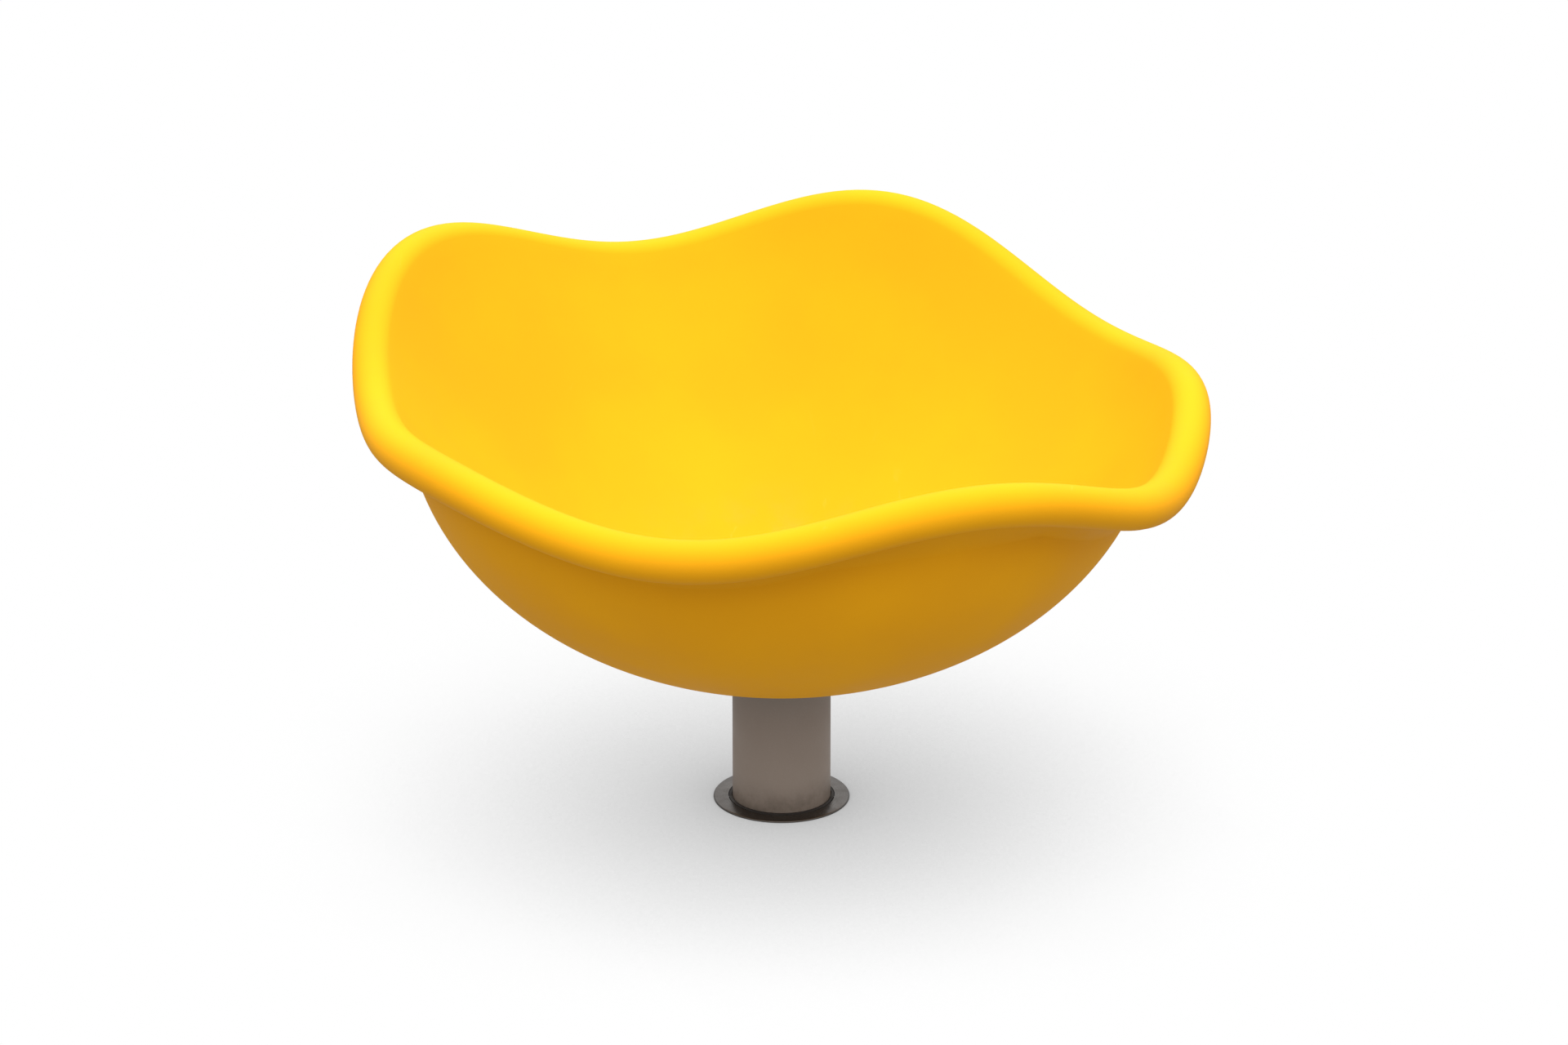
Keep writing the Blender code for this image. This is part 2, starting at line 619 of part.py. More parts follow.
def build_bowl(finish, parent):
    angles = [2 * math.pi * i / BOWL_COLUMNS for i in range(BOWL_COLUMNS)]
    sections = [[polar(r, a, z) for r, z in bowl_section(a)] for a in angles]
    piece = place("bowl", mesh_from("bowl", sweep(sections)), finish, parent)
    floor = PLATE_BOTTOM + PLATE_THICKNESS + GAP
    holes = pins(around(BOLT_CIRCLE, BOLT_COUNT), BOLT_RADIUS + GAP, floor - 0.004,
                 floor + FLOOR_SKIN + 0.01)
    land = shell_height(HUB_LAND)
    for x, y in around(SHROUD_SCREW_CIRCLE, 4, math.radians(45)):
        bmesh.ops.create_cone(holes, cap_ends=True, segments=12, radius1=0.0023, radius2=0.0023,
                              depth=0.014, matrix=Matrix.Translation((x, y, land + 0.002)))
    cut(piece, mesh_from("bowl_holes", holes))


# ------------------------------------------------------------------ assembly
def build():
    clear_scene()
    yellow = material("yellow_plastic", (0.95, 0.50, 0.02), 0.42)
    coat = material("brown_grey_coat", (0.165, 0.138, 0.115), 0.55, 0.1)
    galvanised = material("galvanised_steel", (0.42, 0.43, 0.44), 0.5, 0.9)
    stainless = material("stainless_steel", (0.55, 0.54, 0.52), 0.28, 1.0)
    bright = material("bright_steel", (0.60, 0.60, 0.61), 0.18, 1.0)
    rubber = material("black_rubber", (0.02, 0.019, 0.018), 0.7)
    nylon = material("cage_nylon", (0.28, 0.20, 0.10), 0.5)
    dark_plastic = material("dark_plastic", (0.045, 0.04, 0.037), 0.5)

    post = empty("post_axis")
    spinner = empty("spin_axis")
    cages = empty("cage_axis")

    build_base(galvanised, post)
    build_post(coat, post)
    build_collar(stainless, rubber, post)
    build_housing(galvanised, post)
    build_bearing_rings(bright, post, spinner)
    build_bearing_seals(rubber, post)
    build_cages(nylon, bright, cages)
    build_spindle(galvanised, rubber, spinner)
    build_plate(galvanised, spinner)
    build_bowl(yellow, spinner)
    build_clamp(stainless, stainless, spinner)
    build_shroud(dark_plastic, stainless, spinner)


build()
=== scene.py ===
"""Looks of the spinning bowl seat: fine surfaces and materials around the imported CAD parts."""
import json
import math

import bmesh
import bpy
from mathutils import Matrix, Vector


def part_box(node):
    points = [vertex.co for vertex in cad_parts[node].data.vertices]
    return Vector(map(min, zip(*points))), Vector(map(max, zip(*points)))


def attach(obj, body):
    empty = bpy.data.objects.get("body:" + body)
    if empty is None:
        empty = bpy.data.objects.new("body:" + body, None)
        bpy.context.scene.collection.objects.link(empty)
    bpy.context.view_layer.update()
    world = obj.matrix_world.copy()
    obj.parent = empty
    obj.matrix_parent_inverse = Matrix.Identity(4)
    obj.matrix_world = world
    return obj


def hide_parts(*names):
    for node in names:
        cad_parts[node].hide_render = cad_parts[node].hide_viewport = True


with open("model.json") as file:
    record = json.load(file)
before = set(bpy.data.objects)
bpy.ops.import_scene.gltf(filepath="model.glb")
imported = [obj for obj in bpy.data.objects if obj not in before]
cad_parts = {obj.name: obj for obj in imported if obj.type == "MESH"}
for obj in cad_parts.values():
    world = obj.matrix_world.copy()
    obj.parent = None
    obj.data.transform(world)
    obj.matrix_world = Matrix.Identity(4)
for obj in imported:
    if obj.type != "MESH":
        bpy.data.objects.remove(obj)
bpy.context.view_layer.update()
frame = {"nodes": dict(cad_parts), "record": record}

# ------------------------------------------------------------------ sizes taken from the frame
COLLAR_PROUD = 0.0015
collar_low, collar_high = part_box("ground_collar")
plate_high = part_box("mounting_plate")[1]
tube_low, tube_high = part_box("post_tube")
clamp_low, clamp_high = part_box("clamp_disc")
shroud_low, shroud_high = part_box("hub_shroud")
seal_low, seal_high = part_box("collar_seal")
flange_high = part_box("base_flange")[1]

GROUND = collar_high.z - COLLAR_PROUD
GAP = 0.0003

# ------------------------------------------------------------------ the bowl's shape (metres)
FLOOR_SKIN = 0.006
FLOOR = plate_high.z + GAP + FLOOR_SKIN
FLOOR_SEAT = 0.064
FLOOR_DRAIN = 0.010
SKIN = 0.0055
CAVITY_TOP = GROUND + 0.235
HUB_OPENING = 0.062
HUB_LAND = 0.082
SHELL_RADIUS = 0.2856
SHELL_DEPTH = 0.2181
SHELL_WAIST = GROUND + 0.3311
SHELL_POWER = 2.02
LIP_RADIUS = 0.016
RIM_HEIGHTS = (0.3165, 0.3095, 0.3490, 0.3745, 0.3410, 0.3755, 0.3780,
               0.3305, 0.3340, 0.3230, 0.3155, 0.3445, 0.3265, 0.2965)
RIM_RADII = (0.3120, 0.3125, 0.3150, 0.3255, 0.3195, 0.3255, 0.3250,
             0.3060, 0.3100, 0.3130, 0.3095, 0.3135, 0.3190, 0.3085)
RIM_START = math.radians(5.6)
WALL_ANGLE = math.radians(58)
WALL_ANGLE_SWING = math.radians(4)
FLOOR_EASE = 0.62
WALL_EASE = 0.55
PARTING_ANGLE = math.radians(-80)
PARTING_WIDTH = 0.0014
PARTING_HEIGHT = 0.00022
UNDERLIP_END = math.radians(262 - 360)
UNDERLIP_DROP = 0.018
UNDERLIP_STRETCH = 0.8
UNDERLIP_EASE = 0.4
SHELL_EASE = 0.3

HUB_BORE = 0.041             # inside of the hub cover
COLLAR_BORE = 0.0412         # inside of the ground collar
TUBE_WALL = 0.0036
CLAMP_DRAIN = 0.008
BOLT_CIRCLE = 0.042
BOLT_RADIUS = 0.005
BOLT_HEAD_RADIUS = 0.00875
BOLT_HEAD_HEIGHT = 0.0055
BOLT_SOCKET = 0.003
BOLT_LENGTH = 0.020
SHROUD_SCREW_CIRCLE = 0.072
SCREW_RADIUS = 0.002
FLANGE_BOLT_CIRCLE = 0.095
FLANGE_BOLT_HOLE = 0.007
DRAIN_OFFSET = 0.020
DRAIN_RADIUS = 0.005
SCREW_START = math.radians(45)
FOOT_WELD = 0.0026
GUSSET_WELD = 0.0019

# ------------------------------------------------------------------ studio
AMBIENT = 0.47               # brightness of the studio all round
SIDE_SWING = 0.12            # how much brighter it is on the right than in the middle
OVERHEAD = 3.62              # extra brightness straight above, fading towards the horizon
OVERHEAD_FADE = 2.0
SIDE_DIM = 1.00              # how much weaker the extra brightness is towards left and right
FLOOR_LEVEL = 1.49           # how far the open floor lies above white
FLOOR_REACH = 0.85           # how far the object's shade on the floor reaches
FLOOR_SIZE = 40.0            # outer radius of the floor
FLOOR_TUCK = 0.0004          # how far the floor reaches under the collar's edge
NOOK_REACH = 0.045           # how near another surface has to be for the painted shade in creases
CAMERA_LENS = 128.5
CAMERA_PLACE = (0.0019, -4.0, 1.752)   # height above the ground
CAMERA_PITCH = math.radians(20.86)

# ------------------------------------------------------------------ fineness
BOWL_COLUMNS = 240
WALL_ROWS = 40
LIP_ROWS = 36
UNDERLIP_ROWS = 14
SHELL_ROWS = 36
ROUND = 128
SMALL_ROUND = 48


# ------------------------------------------------------------------ node material helpers
class Shader:
    """A small builder for node materials."""

    def __init__(self, name):
        self.material = bpy.data.materials.new(name)
        self.material.use_nodes = True
        self.tree = self.material.node_tree
        self.surface = self.tree.nodes["Principled BSDF"]
        self.coordinates = self.add("ShaderNodeTexCoord").outputs["Object"]

    def add(self, kind, **settings):
        node = self.tree.nodes.new(kind)
        for key, value in settings.items():
            setattr(node, key, value)
        return node

    def join(self, output, socket):
        self.tree.links.new(output, socket)

    def set(self, **values):
        for key, value in values.items():
            self.surface.inputs[key.replace("_", " ")].default_value = value

    def noise(self, scale, detail=3.0, roughness=0.5, stretch=(1, 1, 1), distortion=0.0):
        mapping = self.add("ShaderNodeMapping")
        mapping.inputs["Scale"].default_value = stretch
        self.join(self.coordinates, mapping.inputs["Vector"])
        noise = self.add("ShaderNodeTexNoise")
        noise.inputs["Scale"].default_value = scale
        noise.inputs["Detail"].default_value = detail
        noise.inputs["Roughness"].default_value = roughness
        noise.inputs["Distortion"].default_value = distortion
        self.join(mapping.outputs["Vector"], noise.inputs["Vector"])
        return noise.outputs["Fac"]

    def ramp(self, source, low, high, low_value=0.0, high_value=1.0):
        remap = self.add("ShaderNodeMapRange", interpolation_type="SMOOTHSTEP")
        remap.inputs["From Min"].default_value = low
        remap.inputs["From Max"].default_value = high
        remap.inputs["To Min"].default_value = low_value
        remap.inputs["To Max"].default_value = high_value
        self.join(source, remap.inputs["Value"])
        return remap.outputs["Result"]

    def math(self, operation, first, second):
        node = self.add("ShaderNodeMath", operation=operation)
        for socket, value in zip(node.inputs, (first, second)):
            if isinstance(value, (int, float)):
                socket.default_value = value
            else:
                self.join(value, socket)
        return node.outputs["Value"]

    def mix(self, share, first, second):
        """Blend two colours. Each is a linear colour or an output."""
        node = self.add("ShaderNodeMix", data_type="RGBA")
        self.join(share, node.inputs["Factor"])
        for socket, value in ((node.inputs[6], first), (node.inputs[7], second)):
            if isinstance(value, tuple):
                socket.default_value = (*value, 1.0)
            else:
                self.join(value, socket)
        return node.outputs[2]

    def axis_height(self):
        split = self.add("ShaderNodeSeparateXYZ")
        self.join(self.coordinates, split.inputs["Vector"])
        return split.outputs["Z"]

    def facing_up(self):
        """The z part of the surface's normal."""
        geometry = self.add("ShaderNodeNewGeometry")
        split = self.add("ShaderNodeSeparateXYZ")
        self.join(geometry.outputs["Normal"], split.inputs["Vector"])
        return split.outputs["Z"]

    def bump(self, height, distance, strength=1.0, after=None):
        node = self.add("ShaderNodeBump")
        node.inputs["Strength"].default_value = strength
        node.inputs["Distance"].default_value = distance
        self.join(height, node.inputs["Height"])
        if after is not None:
            self.join(after, node.inputs["Normal"])
        return node.outputs["Normal"]

    def colour(self, output):
        self.join(output, self.surface.inputs["Base Color"])

    def roughness(self, output):
        self.join(output, self.surface.inputs["Roughness"])

    def normal(self, output):
        self.join(output, self.surface.inputs["Normal"])


def bowl_plastic():
    """Satin rotomoulded polyethylene: faint mottle, moulding grain, scuffs, dust in the floor and
    painted shade in creases such as under the lip.
    """
    m = Shader("bowl_plastic")
    mottle = m.ramp(m.noise(7.0, 4.0), 0.35, 0.65)
    body = m.mix(mottle, (0.93, 0.412, 0.010), (0.97, 0.440, 0.010))
    speck = m.ramp(m.noise(900.0, 2.0), 0.60, 0.72, 0.0, 0.22)
    body = m.mix(speck, body, (0.82, 0.36, 0.012))
    height = m.axis_height()
    dust_zone = m.ramp(height, FLOOR + 0.004, FLOOR + 0.055, 1.0, 0.0)
    dust_patch = m.ramp(m.noise(22.0, 6.0, 0.65), 0.42, 0.70)
    up = m.ramp(m.facing_up(), 0.2, 0.95)
    dust = m.math("MULTIPLY", m.math("MULTIPLY", dust_zone, dust_patch), up)
    body = m.mix(m.math("MULTIPLY", dust, 0.22), body, (0.62, 0.36, 0.09))
    scratch = m.ramp(m.noise(70.0, 5.0, 0.7, stretch=(1.0, 0.12, 0.5), distortion=0.6), 0.66, 0.74)
    rubbed = m.math("MULTIPLY", scratch, m.ramp(m.facing_up(), 0.45, 0.95))
    body = m.mix(m.math("MULTIPLY", rubbed, 0.16), body, (1.0, 0.60, 0.10))
    # painted shade: the plastic turns darker where other surfaces are near, as in the crease under the
    # lip
    nook = m.add("ShaderNodeAmbientOcclusion", samples=8)
    nook.inputs["Distance"].default_value = NOOK_REACH
    darkening = m.ramp(nook.outputs["AO"], 0.45, 1.0, 0.75, 0.0)
    body = m.mix(darkening, body, (0.50, 0.19, 0.010))
    # painted shade: bounced light leaves the plastic in a darker colour than the camera sees, which
    # deepens the shade in the bowl's hollows
    path = m.add("ShaderNodeLightPath")
    m.colour(m.mix(path.outputs["Is Diffuse Ray"], body, (0.75, 0.21, 0.003)))
    rough = m.ramp(m.noise(14.0, 5.0, 0.6), 0.3, 0.7, 0.50, 0.60)
    m.roughness(m.math("ADD", rough, m.math("MULTIPLY", rubbed, 0.10)))
    grain = m.bump(m.noise(1400.0, 2.0), 0.00006, 0.35)
    peel = m.bump(m.noise(160.0, 3.0), 0.00016, 0.30, after=grain)
    m.normal(peel)
    m.set(IOR=1.12, Specular_Tint=(1.0, 0.80, 0.12, 1.0))
    return m.material


def post_coat():
    """Brown-grey satin powder coat with orange peel, fine specks and a patchy darkening towards the
    foot.
    """
    m = Shader("post_coat")
    tone = m.ramp(m.noise(9.0, 4.0), 0.3, 0.7)
    body = m.mix(tone, (0.315, 0.260, 0.216), (0.345, 0.288, 0.240))
    speck = m.ramp(m.noise(1500.0, 1.0), 0.62, 0.70, 0.0, 0.45)
    body = m.mix(speck, body, (0.36, 0.31, 0.27))
    # darker towards the foot, in patches
    low = m.ramp(m.axis_height(), GROUND + 0.002, GROUND + 0.030, 1.0, 0.0)
    darkening = m.math("MULTIPLY", low, m.ramp(m.noise(60.0, 6.0, 0.7), 0.35, 0.7, 0.35, 1.0))
    body = m.mix(m.math("MULTIPLY", darkening, 0.60), body, (0.105, 0.082, 0.062))
    m.colour(body)
    m.roughness(m.ramp(m.noise(40.0, 4.0), 0.3, 0.7, 0.42, 0.56))
    m.normal(m.bump(m.noise(420.0, 2.0), 0.00010, 0.5))
    m.set(IOR=1.3)
    return m.material


def steel(name, tint, rough, grain=(1, 1, 60), grain_scale=90.0, wear=(0.30, 0.29, 0.28)):
    """Bare steel with a drawn or turned grain, smudges and small dull spots."""
    m = Shader(name)
    smudge = m.ramp(m.noise(30.0, 5.0, 0.6), 0.35, 0.7)
    body = m.mix(smudge, tint, tuple(c * 0.86 for c in tint))
    spots = m.ramp(m.noise(260.0, 3.0, 0.6), 0.64, 0.72, 0.0, 0.5)
    m.colour(m.mix(spots, body, wear))
    streak = m.noise(grain_scale, 3.0, 0.6, stretch=grain)
    m.roughness(m.ramp(streak, 0.3, 0.7, rough, rough + 0.14))
    m.normal(m.bump(streak, 0.00005, 0.4))
    m.set(Metallic=1.0)
    return m.material


def turned_steel(name, tint, rough):
    """Steel whose fine grain runs round the axis, as left by a lathe or a polishing wheel."""
    m = Shader(name)
    split = m.add("ShaderNodeSeparateXYZ")
    m.join(m.coordinates, split.inputs["Vector"])
    squares = [m.math("MULTIPLY", split.outputs[i], split.outputs[i]) for i in (0, 1)]
    reach = m.math("SQRT", m.math("ADD", squares[0], squares[1]), 0.0)
    rings = m.add("ShaderNodeTexNoise", noise_dimensions="1D")
    rings.inputs["Scale"].default_value = 1600.0
    rings.inputs["Detail"].default_value = 3.0
    m.join(reach, rings.inputs["W"])
    smudge = m.ramp(m.noise(40.0, 5.0, 0.6), 0.35, 0.7)
    m.colour(m.mix(smudge, tint, tuple(c * 0.85 for c in tint)))
    line = rings.outputs["Fac"]
    m.roughness(m.math("ADD", m.ramp(line, 0.3, 0.7, rough, rough + 0.10),
                       m.ramp(m.noise(120.0, 4.0), 0.4, 0.7, 0.0, 0.08)))
    m.normal(m.bump(line, 0.00004, 0.35))
    m.set(Metallic=1.0)
    return m.material


def galvanised():
    """Hot-dip zinc: spangle patches in slightly different greys, dull with a soft sheen."""
    m = Shader("galvanised_steel")
    cells = m.add("ShaderNodeTexVoronoi")
    cells.inputs["Scale"].default_value = 130.0
    m.join(m.coordinates, cells.inputs["Vector"])
    split = m.add("ShaderNodeSeparateColor")
    m.join(cells.outputs["Color"], split.inputs["Color"])
    spangle = split.outputs[0]
    body = m.mix(spangle, (0.40, 0.41, 0.42), (0.50, 0.51, 0.52))
    stain = m.ramp(m.noise(25.0, 5.0, 0.65), 0.5, 0.75, 0.0, 0.35)
    m.colour(m.mix(stain, body, (0.62, 0.62, 0.60)))
    m.roughness(m.ramp(spangle, 0.0, 1.0, 0.38, 0.52))
    m.normal(m.bump(m.noise(300.0, 3.0), 0.00008, 0.4))
    m.set(Metallic=0.85)
    return m.material


def rubber():
    """Matt black rubber with mould grain and a dusty bloom."""
    m = Shader("rubber")
    bloom = m.ramp(m.noise(50.0, 5.0, 0.65), 0.4, 0.75, 0.0, 0.5)
    m.colour(m.mix(bloom, (0.018, 0.017, 0.016), (0.050, 0.046, 0.041)))
    m.roughness(m.ramp(m.noise(90.0, 3.0), 0.3, 0.7, 0.62, 0.80))
    m.normal(m.bump(m.noise(900.0, 2.0), 0.00006, 0.5))
    return m.material


def moulded(name, dark, light, rough):
    """A plain moulded plastic with fine spark grain."""
    m = Shader(name)
    m.colour(m.mix(m.ramp(m.noise(18.0, 4.0), 0.3, 0.7), dark, light))
    m.roughness(m.ramp(m.noise(60.0, 3.0), 0.3, 0.7, rough, rough + 0.12))
    m.normal(m.bump(m.noise(1100.0, 2.0), 0.00007, 0.6))
    return m.material


def floor_paint():
    """White studio floor that shows only the soft shade where the object hides the sky."""
    m = Shader("floor_paint")
    tree = m.tree
    shade = m.add("ShaderNodeAmbientOcclusion", samples=12)
    shade.inputs["Distance"].default_value = FLOOR_REACH
    mottle = m.ramp(m.noise(1.2, 2.0), 0.3, 0.7, 0.99, 1.01)
    level = m.math("MULTIPLY", m.math("MULTIPLY", shade.outputs["AO"], mottle), FLOOR_LEVEL)
    seen = m.add("ShaderNodeEmission")
    m.join(m.math("MINIMUM", level, 1.0), seen.inputs["Strength"])
    felt = m.add("ShaderNodeEmission")
    felt.inputs["Strength"].default_value = AMBIENT
    path = m.add("ShaderNodeLightPath")
    mixer = m.add("ShaderNodeMixShader")
    m.join(path.outputs["Is Camera Ray"], mixer.inputs["Fac"])
    m.join(felt.outputs["Emission"], mixer.inputs[1])
    m.join(seen.outputs["Emission"], mixer.inputs[2])
    m.join(mixer.outputs["Shader"], tree.nodes["Material Output"].inputs["Surface"])
    tree.nodes.remove(m.surface)
    return m.material


# ------------------------------------------------------------------ mesh helpers
def polar(radius, angle, height=0.0):
    return Vector((radius * math.cos(angle), radius * math.sin(angle), height))


def finish_mesh(name, bm, material, sharp=35.0):
    """Turn a bmesh into a smooth-shaded object with outward faces."""
    bmesh.ops.recalc_face_normals(bm, faces=bm.faces)
    mesh = bpy.data.meshes.new(name)
    bm.to_mesh(mesh)
    bm.free()
    mesh.shade_smooth()
    mesh.set_sharp_from_angle(angle=math.radians(sharp))
    mesh.materials.append(material)
    piece = bpy.data.objects.new(name, mesh)
    bpy.context.collection.objects.link(piece)
    return piece


def sweep(sections):
    """Join closed sections, given as equal lists of points, all the way round into one body."""
    bm = bmesh.new()
    rings = [[bm.verts.new(point) for point in section] for section in sections]
    count, size = len(rings), len(rings[0])
    for i in range(count):
        here, after = rings[i], rings[(i + 1) % count]
        for j in range(size):
            k = (j + 1) % size
            bm.faces.new((here[j], after[j], after[k], here[k]))
    return bm


def ring(profile, segments=ROUND):
    """Turn a closed profile of (radius, height) around the axis."""
    angles = [2 * math.pi * i / segments for i in range(segments)]
    return sweep([[polar(r, a, z) for r, z in profile] for a in angles])


def rounded(corners, radii, steps=5):
    """A closed (radius, height) outline whose corners are rounded by arcs of the given radii."""
    points = []
    count = len(corners)
    for i, (corner, radius) in enumerate(zip(corners, radii)):
        here = Vector(corner)
        back = (Vector(corners[i - 1]) - here).normalized()
        ahead = (Vector(corners[(i + 1) % count]) - here).normalized()
        if radius <= 0:
            points.append(tuple(here))
            continue
        half = back.angle(ahead) / 2
        centre = here + (back + ahead).normalized() * (radius / math.sin(half))
        first = here + back * (radius / math.tan(half)) - centre
        last = here + ahead * (radius / math.tan(half)) - centre
        turn = math.atan2(first.x * last.y - first.y * last.x, first.dot(last))
        for step in range(steps + 1):
            a = turn * step / steps
            x = first.x * math.cos(a) - first.y * math.sin(a)
            y = first.x * math.sin(a) + first.y * math.cos(a)
            points.append((centre.x + x, centre.y + y))
    return points


def turned(profile, segments=SMALL_ROUND, hexagon=()):
    """Turn an open profile whose two ends lie on the axis. Rows in hexagon get six flats."""
    bm = bmesh.new()
    start = bm.verts.new((0, 0, profile[0][1]))
    end = bm.verts.new((0, 0, profile[-1][1]))
    rows = []
    for number, (radius, height) in enumerate(profile[1:-1], start=1):
        row = []
        for i in range(segments):
            angle = 2 * math.pi * i / segments
            reach = radius
            if number in hexagon:
                reach = radius / math.cos((angle % (math.pi / 3)) - math.pi / 6)
            row.append(bm.verts.new(polar(reach, angle, height)))
        rows.append(row)
    for i in range(segments):
        k = (i + 1) % segments
        bm.faces.new((start, rows[0][i], rows[0][k]))
        bm.faces.new((end, rows[-1][k], rows[-1][i]))
        for low, high in zip(rows, rows[1:]):
            bm.faces.new((low[i], high[i], high[k], low[k]))
    return bm


def drill(piece, holes, bottom, top, sharp=35.0):
    """Cut upright round holes, given as (x, y, radius), between two heights."""
    bits = bmesh.new()
    for x, y, radius in holes:
        middle = Matrix.Translation((x, y, (bottom + top) / 2))
        bmesh.ops.create_cone(bits, cap_ends=True, segments=SMALL_ROUND, radius1=radius,
                              radius2=radius, depth=top - bottom, matrix=middle)
    cutter = finish_mesh(piece.name + "_bits", bits, piece.data.materials[0])
    boolean = piece.modifiers.new("holes", "BOOLEAN")
    boolean.solver = "EXACT"
    boolean.object = cutter
    graph = bpy.context.evaluated_depsgraph_get()
    drilled = bpy.data.meshes.new_from_object(piece.evaluated_get(graph))
    drilled.shade_smooth()
    drilled.set_sharp_from_angle(angle=math.radians(sharp))
    piece.modifiers.clear()
    piece.data = drilled
    bpy.data.objects.remove(cutter)


def around(radius, count, start=0.0):
    angles = [start + 2 * math.pi * i / count for i in range(count)]
    return [(radius * math.cos(a), radius * math.sin(a)) for a in angles]


def bezier(p0, p1, p2, p3, rows):
    """Points on a cubic curve in the (radius, height) plane, both ends included."""
    points = []
    for i in range(rows + 1):
        t = i / rows
        s = 1 - t
        weights = (s ** 3, 3 * s * s * t, 3 * s * t * t, t ** 3)
        points.append(tuple(sum(w * p[axis] for w, p in zip(weights, (p0, p1, p2, p3)))
                            for axis in range(2)))
    return points


def stand_in(piece, body, slot, *nodes):
    """Let a fine piece ride on its body and stand for its CAD nodes."""
    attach(piece, body)
    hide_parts(*nodes)
    return piece


# ------------------------------------------------------------------ the bowl
def rim_point(angle):
    """Radius and height of the lip's centre line, a smooth wave through the rim's stations."""
    count = len(RIM_HEIGHTS)
    radius, height = 0.0, GROUND
    for i in range(count):
        off = angle - RIM_START - 2 * math.pi * i / count
        if abs(math.sin(off / 2)) < 1e-9:
            weight = 1.0
        else:
            weight = math.sin(count * off / 2) / (count * math.tan(off / 2))
        radius += weight * RIM_RADII[i]
        height += weight * RIM_HEIGHTS[i]
    return radius, height


def shell_radius(height):
    ratio = abs(height - SHELL_WAIST) / SHELL_DEPTH
    return SHELL_RADIUS * (1 - ratio ** SHELL_POWER) ** (1 / SHELL_POWER)


def shell_height(radius):
    ratio = (radius / SHELL_RADIUS) ** SHELL_POWER
    return SHELL_WAIST - SHELL_DEPTH * (1 - ratio) ** (1 / SHELL_POWER)


def wall_curve(angle, rows):
    """Inner wall from the edge of the floor seat up to the lip, and the angle it ends at."""
    rim_radius, rim_height = rim_point(angle)
    slope = WALL_ANGLE + WALL_ANGLE_SWING * math.cos(5 * (angle - RIM_START))
    meet = math.pi / 2 + slope
    end = (rim_radius + LIP_RADIUS * math.cos(meet), rim_height + LIP_RADIUS * math.sin(meet))
    start = (FLOOR_SEAT, FLOOR)
    corner = end[0] - (end[1] - FLOOR) / math.tan(slope)
    ease_in = (start[0] + FLOOR_EASE * (corner - start[0]), FLOOR)
    ease_out = (end[0] + WALL_EASE * (corner - end[0]), end[1] + WALL_EASE * (FLOOR - end[1]))
    return bezier(start, ease_in, ease_out, end, rows), meet


def lip_curve(angle, meet, rows):
    """The rolled lip, over the top and round to its underside, with the mould's parting line."""
    rim_radius, rim_height = rim_point(angle)
    stations = [(meet + (UNDERLIP_END - meet) * i / rows, 0.0) for i in range(1, rows + 1)]
    half = PARTING_WIDTH / 2 / LIP_RADIUS
    stations += [(PARTING_ANGLE + half, 0.0), (PARTING_ANGLE + half / 2, PARTING_HEIGHT),
                 (PARTING_ANGLE - half / 2, PARTING_HEIGHT), (PARTING_ANGLE - half, 0.0)]
    return [(rim_radius + (LIP_RADIUS + rise) * math.cos(turn),
             rim_height + (LIP_RADIUS + rise) * math.sin(turn))
            for turn, rise in sorted(stations, reverse=True)]


def shell_join(angle):
    rim_height = rim_point(angle)[1]
    stretch = UNDERLIP_STRETCH * max(0.0, rim_height - SHELL_WAIST)
    return rim_height - LIP_RADIUS - UNDERLIP_DROP - stretch


def underlip_curve(angle, start, rows):
    """From the underside of the lip down to the plain shell."""
    height = shell_join(angle)
    join = (shell_radius(height), height)
    step = 1e-4
    rise = Vector((shell_radius(height + step) - join[0], step)).normalized()
    inward = Vector((math.sin(UNDERLIP_END), -math.cos(UNDERLIP_END)))
    reach_in = UNDERLIP_EASE * (start[0] - join[0])
    reach_up = SHELL_EASE * (start[1] - join[1])
    first = (start[0] + inward.x * reach_in, start[1] + inward.y * reach_in)
    second = (join[0] + rise.x * reach_up, join[1] + rise.y * reach_up)
    return bezier(start, first, second, join, rows)[1:]


def shell_curve(top, bottom_radius, rows):
    """The plain shell from a height down to a radius, evenly spread along its curve."""
    first = math.acos((shell_radius(top) / SHELL_RADIUS) ** (SHELL_POWER / 2))
    if top > SHELL_WAIST:
        first = -first
    last = math.acos((bottom_radius / SHELL_RADIUS) ** (SHELL_POWER / 2))
    points = []
    for i in range(1, rows + 1):
        turn = first + (last - first) * i / rows
        radius = SHELL_RADIUS * abs(math.cos(turn)) ** (2 / SHELL_POWER)
        drop = SHELL_DEPTH * abs(math.sin(turn)) ** (2 / SHELL_POWER)
        points.append((radius, SHELL_WAIST - math.copysign(drop, turn)))
    return points


def offset_curve(points, distance):
    """Shift a curve to its right by a distance."""
    shifted = []
    for i, (r, z) in enumerate(points):
        before, after = points[max(i - 1, 0)], points[min(i + 1, len(points) - 1)]
        along = Vector((after[0] - before[0], after[1] - before[1])).normalized()
        shifted.append((r + along.y * distance, z - along.x * distance))
    return shifted


def below(points, height, rows):
    """The part of a rising curve below a height, as evenly spaced points."""
    kept = [p for p in points if p[1] < height]
    low, high = kept[-1], points[len(kept)]
    share = (height - low[1]) / (high[1] - low[1])
    kept.append((low[0] + share * (high[0] - low[0]), height))
    lengths = [0.0]
    for a, b in zip(kept, kept[1:]):
        lengths.append(lengths[-1] + math.dist(a, b))
    spread = []
    j = 0
    for i in range(rows + 1):
        target = lengths[-1] * i / rows
        while j < len(kept) - 2 and lengths[j + 1] < target:
            j += 1
        t = (target - lengths[j]) / (lengths[j + 1] - lengths[j])
        spread.append((kept[j][0] + t * (kept[j + 1][0] - kept[j][0]),
                       kept[j][1] + t * (kept[j + 1][1] - kept[j][1])))
    return spread


